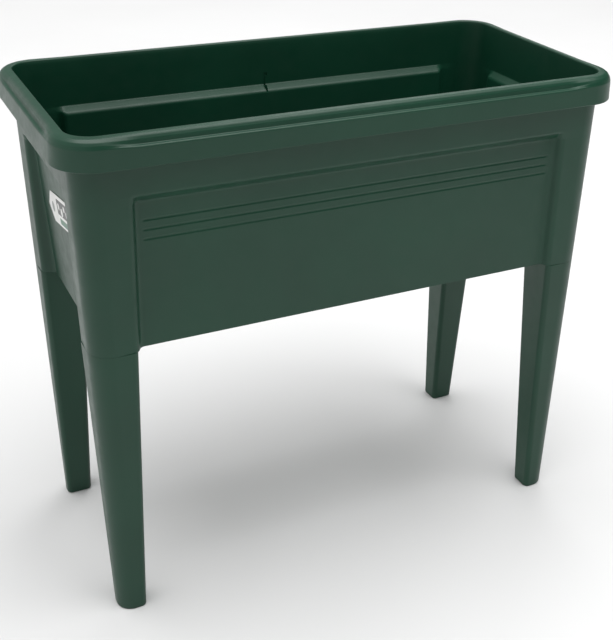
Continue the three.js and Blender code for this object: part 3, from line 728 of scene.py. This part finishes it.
def wick_cup(word, number, x):
    """A slotted cup that hangs by its flange in a hole of the plate."""
    seat, flange_top = COLLAR_Z, COLLAR_Z + THIN_WALL
    section = [(ON_AXIS, CUP_LOW), (CUP_BOTTOM_R, CUP_LOW), (CUP_TOP_R, PLATE_BOTTOM), (CUP_TOP_R, seat),
               (CUP_FLANGE_R, seat), (CUP_FLANGE_R, flange_top), (CUP_TOP_R - THIN_WALL, flange_top),
               (CUP_BOTTOM_R - THIN_WALL, CUP_LOW + THIN_WALL), (ON_AXIS, CUP_LOW + THIN_WALL)]
    obj = lathe("wick_cup_{}_{}_shell".format(word, number),
                rounded(section, [1.5, 0.6, 0.3, 0.5, 0.8, 1.0, 1.5], 4), x, 0)
    reach = CUP_FLANGE_R + 5
    slot = capsule(0, 0, CUP_SLOT_WIDTH, CUP_SLOT_LENGTH)
    for i in range(CUP_SLOTS):
        place = level_cut(math.pi * (i + 0.5) / CUP_SLOTS, x, 0, CUP_SLOT_Z)
        carve(obj, prism("slot", slot, -reach, reach, place))
    bevel(obj, 0.25, 50)
    finish_piece(obj, [GREY], "separator_" + word, ["wick_cup_{}_{}".format(word, number)])


def level_cut(angle, x, y, z):
    """Places a prism so that its outline is sideways and up, and its length level through (x, y, z)."""
    c, s = math.cos(angle), math.sin(angle)
    return Matrix(((-s, 0, c, x * MM), (c, 0, s, y * MM), (0, 1, 0, z * MM), (0, 0, 0, 1)))


# ---------------------------------------------------------------- filling tube and lid

def across(y, z):
    """Places a prism so that its outline lies in world Y and Z and its length runs along X."""
    return Matrix(((0, 0, 1, FILL_X * MM), (1, 0, 0, y * MM), (0, 1, 0, z * MM), (0, 0, 0, 1)))


def fill_tube():
    """The filling tube: collar on the plate, flared mouth, two hinge ears and outlets at the bottom."""
    inner, mouth_inner = FILL_R - THIN_WALL, MOUTH_R - THIN_WALL
    flare, taper = FILL_TOP - MOUTH_DEPTH, FILL_TOP - MOUTH_TAPER
    collar_r, collar_top = FILL_R + FILL_COLLAR, COLLAR_Z + COLLAR_THICK
    section = [(inner, FILL_BOTTOM + 20), (inner, FILL_BOTTOM), (FILL_R, FILL_BOTTOM), (FILL_R, COLLAR_Z),
               (collar_r, COLLAR_Z), (collar_r, collar_top), (FILL_R, collar_top), (FILL_R, taper),
               (MOUTH_R, flare), (MOUTH_R, FILL_TOP), (mouth_inner, FILL_TOP), (mouth_inner, flare),
               (inner, taper), (inner, FILL_BOTTOM + 21)]
    radii = [0.5, 0.5, 0.4, 0.6, 0.6, 1.0, 8.0, 4.0, 0.8, 0.8, 4.0, 8.0]
    obj = lathe("fill_tube_body", rounded(section, radii, 5), FILL_X, FILL_Y)
    edge = FILL_Y + MOUTH_R
    ear = rounded([(edge - 3, FILL_TOP - EAR_DROP), (HINGE_Y + EAR_REACH, FILL_TOP - EAR_DROP),
                   (HINGE_Y + EAR_REACH, HINGE_Z + EAR_REACH), (edge + 1, HINGE_Z + EAR_REACH),
                   (edge + 1, FILL_TOP - 0.2), (edge - 3, FILL_TOP - 0.2)],
                  [1.5, 3.0, 1.5, 0.0], 6)
    for sign in (-1, 1):
        low, high = sorted((sign * (EAR_X - EAR_THICK), sign * EAR_X))
        carve(obj, prism("ear", ear, low, high, across(0, 0)), "UNION")
    pin_hole = circle(0, 0, PIN_R + FIT_GAP, 24)
    carve(obj, prism("pin_hole", pin_hole, -EAR_X - 3, EAR_X + 3, across(HINGE_Y, HINGE_Z)))
    outlet = rectangle(-4, 4, -10, 14, 3.5)
    for i in range(2):
        carve(obj, prism("outlet", outlet, -40, 40, level_cut(math.pi * i / 2, FILL_X, FILL_Y, FILL_BOTTOM)))
    bevel(obj, 0.3, 50)
    finish_piece(obj, [GREY], "separator_right", ["fill_tube"])


def fill_lid():
    """The lid: a cap with a plug ring below, a hinge arm with hub and pin, and a ribbed finger tab."""
    low, top = LID_LOW, LID_LOW + LID_THICK
    section = [(ON_AXIS, low), (MOUTH_R - 5.5, low), (MOUTH_R - 5.5, low - 4), (MOUTH_R - 3.5, low - 4),
               (MOUTH_R - 3.5, low), (MOUTH_R, low), (MOUTH_R, top), (MOUTH_R - 4, top),
               (MOUTH_R - 6, low + 2.2), (ON_AXIS, low + 2.4)]
    obj = lathe("fill_lid_cap", rounded(section, [0.4, 0.4, 0.6, 0.4, 0.6, 1.0, 0.8, 1.0], 4), FILL_X, FILL_Y)
    front, back = FILL_Y - MOUTH_R, FILL_Y + MOUTH_R
    hub_x = EAR_X - EAR_THICK - 0.5
    hinge = across(HINGE_Y, HINGE_Z)
    tools = [prism("arm", rectangle(FILL_X - 4.5, FILL_X + 4.5, back - 4, HINGE_Y), low, top),
             prism("tab", rectangle(FILL_X - 8, FILL_X + 8, front - 6, front + 3, 2.5), low, low + 2),
             prism("hub", circle(0, 0, LID_HUB_R, 32), -hub_x, hub_x, hinge),
             prism("pin", circle(0, 0, PIN_R, 24), -EAR_X, EAR_X, hinge)]
    for y in (1.5, 3.2, 4.9):
        ridge = rectangle(FILL_X - 6, FILL_X + 6, front - y - 0.4, front - y + 0.4)
        tools.append(prism("ridge", ridge, low + 1.5, low + 2.5))
    for tool in tools:
        carve(obj, tool, "UNION")
    bevel(obj, 0.3, 50)
    finish_piece(obj, [GREEN], "fill_lid", ["fill_lid"])


# ---------------------------------------------------------------- level gauge

def gauge_lathe(name, section, radii, steps=64):
    return lathe(name, rounded(section, radii, 5), GAUGE_X, GAUGE_Y, steps)


def gauge_tube():
    inner, collar_r, collar_top = GAUGE_R - THIN_WALL, GAUGE_R + GAUGE_COLLAR, COLLAR_Z + COLLAR_THICK
    section = [(inner, 420), (inner, GAUGE_BOTTOM), (GAUGE_R, GAUGE_BOTTOM), (GAUGE_R, COLLAR_Z),
               (collar_r, COLLAR_Z), (collar_r, collar_top), (GAUGE_R, collar_top), (GAUGE_R, GAUGE_TOP),
               (inner, GAUGE_TOP), (inner, 421)]
    tube = lathe("gauge_tube_body", rounded(section, [0.4, 0.4, 0.4, 0.6, 0.6, 1.0, 0.5, 0.5], 4),
                 GAUGE_X, GAUGE_Y, 64)
    finish_piece(tube, [GREY], "separator_right", ["gauge_tube"])


def gauge_window():
    """A clear cap whose spigot goes down into the tube."""
    seat, spigot = GAUGE_TOP + SEAT_GAP, GAUGE_R - THIN_WALL - FIT_GAP
    section = [(ON_AXIS, CAP_TOP - 2), (GAUGE_R - 2.6, CAP_TOP - 3), (GAUGE_R - 2, seat + 2),
               (spigot - 1.5, seat), (spigot - 1.5, seat - SPIGOT_LENGTH), (spigot, seat - SPIGOT_LENGTH),
               (spigot, seat),
               (GAUGE_R, seat), (GAUGE_R, CAP_TOP - 3), (GAUGE_R - 2, CAP_TOP - 0.6), (ON_AXIS, CAP_TOP)]
    window = gauge_lathe("gauge_window_cap", section, [1.5, 1.0, 0.4, 0.3, 0.3, 0.2, 0.5, 1.5, 1.5])
    finish_piece(window, [CLEAR], "separator_right", ["gauge_window"])


def gauge_float():
    high = FLOAT_LOW + FLOAT_HEIGHT
    body = gauge_lathe("gauge_float_body", [(ON_AXIS, FLOAT_LOW), (FLOAT_R, FLOAT_LOW), (FLOAT_R, high),
                                            (ON_AXIS, high)], [1.5, 1.5])
    finish_piece(body, [FOAM], "level_float", ["gauge_float"])


def gauge_rod():
    """The rod on the float, with a foot below and a thicker tip that shows in the window."""
    foot, tip = FLOAT_LOW + FLOAT_HEIGHT + SEAT_GAP, ROD_TOP - TIP_LENGTH
    section = [(ON_AXIS, foot), (ROD_R + 2, foot), (ROD_R + 2, foot + 2), (ROD_R, foot + 3), (ROD_R, tip - 2),
               (TIP_R, tip), (TIP_R, ROD_TOP - 1), (ON_AXIS, ROD_TOP)]
    rod = gauge_lathe("gauge_rod_body", section, [0.4, 0.5, 0.8, 0.8, 0.8, 1.2], 48)
    finish_piece(rod, [RED], "level_float", ["gauge_rod"])


# ---------------------------------------------------------------- drain

def drain_plug():
    """The plug, with a flange under the trough and a finger grip below it."""
    shank_top = FLOOR_TOP + 5
    section = [(ON_AXIS, FLANGE_BOTTOM), (FLANGE_R, FLANGE_BOTTOM), (FLANGE_R, FLANGE_TOP),
               (SHANK_R, FLANGE_TOP), (SHANK_R, shank_top), (ON_AXIS, shank_top)]
    plug = lathe("drain_plug_body", rounded(section, [1.0, 0.5, 0.4, 1.6], 5), 0, 0)
    grip = rectangle(-GRIP_HALF_X, GRIP_HALF_X, -GRIP_HALF_Y, GRIP_HALF_Y, 1.2)
    carve(plug, prism("grip", grip, FLANGE_BOTTOM - GRIP_HEIGHT, FLANGE_BOTTOM + 1), "UNION")
    bevel(plug, 0.6, 50)
    finish_piece(plug, [GREY], "drain_plug", ["drain_plug"])


def drain_seal():
    """The rubber ring between flange and trough."""
    inner = SHANK_R + FIT_GAP
    middle, top = SEAL_BOTTOM + SEAL_THICK / 2, SEAL_BOTTOM + SEAL_THICK
    section = [(inner, middle), (inner, SEAL_BOTTOM), (SEAL_R, SEAL_BOTTOM), (SEAL_R, top), (inner, top),
               (inner, middle + 0.1)]
    seal = lathe("drain_seal_ring", rounded(section, [0.6, 0.9, 0.9, 0.6], 5), 0, 0)
    finish_piece(seal, [RUBBER], "drain_plug", ["drain_seal"])


# ---------------------------------------------------------------- label

def label_place():
    """The label's frame on the sloping end panel: X towards the front, Y up the panel and Z outwards."""
    low, high = panel_at(TROUGH_BOTTOM), panel_at(SHOULDER_OUTSIDE[0])
    up = Vector((low[0] - high[0], 0, SHOULDER_OUTSIDE[0] - TROUGH_BOTTOM)).normalized()
    forward = Vector((0, -1, 0))
    out = forward.cross(up)
    place = Matrix((
        (forward.x, up.x, out.x, -panel_at(LABEL_Z)[0] * MM), (forward.y, up.y, out.y, LABEL_Y * MM),
        (forward.z, up.z, out.z, LABEL_Z * MM), (0, 0, 0, 1)))
    return place @ Matrix.Rotation(math.radians(LABEL_TILT), 4, "Z"), out


def label():
    """A white strip with a pointed rear end and a plain picture: dark patch, green strip, disc and blobs."""
    place, out = label_place()
    half, rise = LABEL_LENGTH / 2, LABEL_HEIGHT / 2
    outline = rounded([(0, -rise), (half, -rise), (half, rise), (-half + LABEL_POINT, rise), (-half, 0),
                       (-half + LABEL_POINT, -rise), (0.01, -rise)], [1.5, 1.5, 3.0, 2.0, 3.0], 5)[:-1]
    patch = rectangle(-14, half - 9, -rise + 15, rise - 5, 2.0)
    green = rectangle(-8, half - 5, -rise + 3, -rise + 11, 1.5)
    disc = circle(-half + 26, 0, 7, 32)
    layers = [prism("strip", outline, LABEL_BACK, LABEL_FACE, place)]
    layers += [prism("ink", ink, INK_BACK, INK_FACE, place) for ink in (patch, green, disc)]
    # The white blobs lie on the dark patch.
    for x, y, r in ((-4, 6, 4.5), (11, 1, 5.5), (27, 8, 4.0), (39, 2, 5.0)):
        blob = prism("ink", circle(x, y, r, 24), INK_BACK, INK_FACE, place)
        blob.data.transform(Matrix.Translation(out * (INK_FACE - INK_BACK) * MM))
        layers.append(blob)
    strip = join("care_label_strip", layers)
    finish_piece(strip, [PAPER, INK_DARK, INK_GREEN, INK_GREY], "planter", ["care_label"])
    # Inks are told apart by where their faces lie in the label's frame.
    back = place.inverted()
    for face in strip.data.polygons:
        x, y, z = back @ face.center / MM
        if INK_FACE - 0.03 < z < INK_FACE + 0.05:
            face.material_index = 3 if x < -half + 35 else 1 if y > -rise + 13 else 2


# ---------------------------------------------------------------- build

trough()
for name in CORNERS:
    leg(name)
for word, way in (("left", -1), ("right", 1)):
    plate(word, way)
    for number, x in enumerate(CUP_X, 1):
        wick_cup(word, number, way * x)
fill_tube()
fill_lid()
gauge_tube()
gauge_window()
gauge_float()
gauge_rod()
drain_plug()
drain_seal()
label()


# ---------------------------------------------------------------- camera, floor and light

# Lengths from here on are in metres, apart from the lens, which is in millimetres.
# The camera stands at the front left, above the rim, and looks down with some lens shift.
CAMERA_AZIMUTH, CAMERA_ELEVATION, CAMERA_ROLL = math.radians(-27.85), math.radians(22.59), math.radians(1.82)
CAMERA_DISTANCE, CAMERA_RIGHT, CAMERA_UP, CAMERA_TARGET_Z = 1.571, 0.06724, 0.04465, 0.4
CAMERA_LENS, CAMERA_SHIFT = 63.431, (-0.08, -0.17)
FLOOR_HALF = 30.0
FLOOR_DARK, FLOOR_LIGHT = (0.69, 0.69, 0.69), (0.71, 0.71, 0.71)


def camera():
    data = bpy.data.cameras.new("camera")
    data.lens = CAMERA_LENS
    data.shift_x, data.shift_y = CAMERA_SHIFT
    data.clip_start, data.clip_end = 0.01, 100.0
    cam = bpy.data.objects.new("camera", data)
    bpy.context.scene.collection.objects.link(cam)
    az, el, roll = CAMERA_AZIMUTH, CAMERA_ELEVATION, CAMERA_ROLL
    back = Vector((math.sin(az) * math.cos(el), -math.cos(az) * math.cos(el), math.sin(el)))
    right = (-back).cross(Vector((0, 0, 1))).normalized()
    up = right.cross(-back)
    turned_right = right * math.cos(roll) + up * math.sin(roll)
    turned_up = up * math.cos(roll) - right * math.sin(roll)
    place = Vector((0, 0, CAMERA_TARGET_Z)) + back * CAMERA_DISTANCE
    place += turned_right * CAMERA_RIGHT + turned_up * CAMERA_UP
    basis = Matrix((turned_right, turned_up, back)).transposed().to_4x4()
    cam.matrix_world = Matrix.Translation(place) @ basis
    bpy.context.scene.camera = cam


def floor():
    outline = rectangle(-FLOOR_HALF, FLOOR_HALF, -FLOOR_HALF, FLOOR_HALF)
    obj = make_mesh("floor", [(x, y, 0) for x, y in outline], [(0, 1, 2, 3)], 1.0)
    mat, nodes, links, bsdf = new_material("floor_paper")
    coords = nodes.new("ShaderNodeTexCoord").outputs["Object"]
    tone = ranged(nodes, links, noise(nodes, links, coords, scale=1.5), 0.0, 1.0)
    links.new(mixed(nodes, links, tone, FLOOR_DARK, FLOOR_LIGHT), bsdf.inputs["Base Color"])
    bsdf.inputs["Roughness"].default_value = 0.9
    bsdf.inputs["Specular IOR Level"].default_value = 0.1
    obj.data.materials.append(mat)


RIM_FRONT = (0, -0.1, 0.65)
SUN_POWER, SUN_ANGLE = 3.0, math.radians(58)
# The world is brightest towards BRIGHT_SIDE: its level goes from dim to bright over a range of the cosine.
BRIGHT_SIDE = (-0.95, 0.30, 0.0)
WORLD_COSINE, WORLD_LEVEL = (-0.35, 0.85), (0.12, 0.74)
BACKGROUND = (0.90, 0.90, 0.90, 1)


def softbox(name, place, size, power):
    """A rectangular light that faces the front of the rim and isn't seen itself."""
    data = bpy.data.lights.new(name, "AREA")
    data.shape = "RECTANGLE"
    data.size, data.size_y = size
    data.energy = power
    obj = bpy.data.objects.new(name, data)
    bpy.context.scene.collection.objects.link(obj)
    obj.location = place
    obj.rotation_mode = "QUATERNION"
    obj.rotation_quaternion = (Vector(RIM_FRONT) - Vector(place)).to_track_quat("-Z", "Y")
    obj.visible_camera = False


def studio():
    """A world that is bright to the left and dim to the right, and plain where the camera sees it."""
    world = bpy.data.worlds.new("studio")
    world.use_nodes = True
    bpy.context.scene.world = world
    nodes, links = world.node_tree.nodes, world.node_tree.links
    toward = nodes.new("ShaderNodeVectorMath")
    toward.operation = "DOT_PRODUCT"
    links.new(nodes.new("ShaderNodeTexCoord").outputs["Generated"], toward.inputs[0])
    toward.inputs[1].default_value = BRIGHT_SIDE
    level = nodes.new("ShaderNodeMapRange")
    level.interpolation_type = "SMOOTHSTEP"
    level.inputs["From Min"].default_value, level.inputs["From Max"].default_value = WORLD_COSINE
    level.inputs["To Min"].default_value, level.inputs["To Max"].default_value = WORLD_LEVEL
    links.new(toward.outputs["Value"], level.inputs["Value"])
    lit = nodes["Background"]
    lit.inputs["Color"].default_value = (1, 1, 1, 1)
    links.new(level.outputs["Result"], lit.inputs["Strength"])
    seen = nodes.new("ShaderNodeBackground")
    seen.inputs["Color"].default_value = BACKGROUND
    mix = nodes.new("ShaderNodeMixShader")
    links.new(nodes.new("ShaderNodeLightPath").outputs["Is Camera Ray"], mix.inputs[0])
    links.new(lit.outputs[0], mix.inputs[1])
    links.new(seen.outputs[0], mix.inputs[2])
    links.new(mix.outputs[0], nodes["World Output"].inputs["Surface"])


def lights():
    """A wide overhead sun, and two softboxes that give the rim its highlights."""
    sun = bpy.data.lights.new("overhead", "SUN")
    sun.energy = SUN_POWER
    sun.angle = SUN_ANGLE
    obj = bpy.data.objects.new("overhead", sun)
    bpy.context.scene.collection.objects.link(obj)
    softbox("top_softbox", (0.7, -0.95, 2.2), (1.5, 1.1), 14)
    softbox("back_softbox", (1.3, 1.8, 2.45), (1.4, 2.0), 16)


camera()
floor()
lights()
studio()
bpy.context.scene.view_settings.view_transform = "Standard"
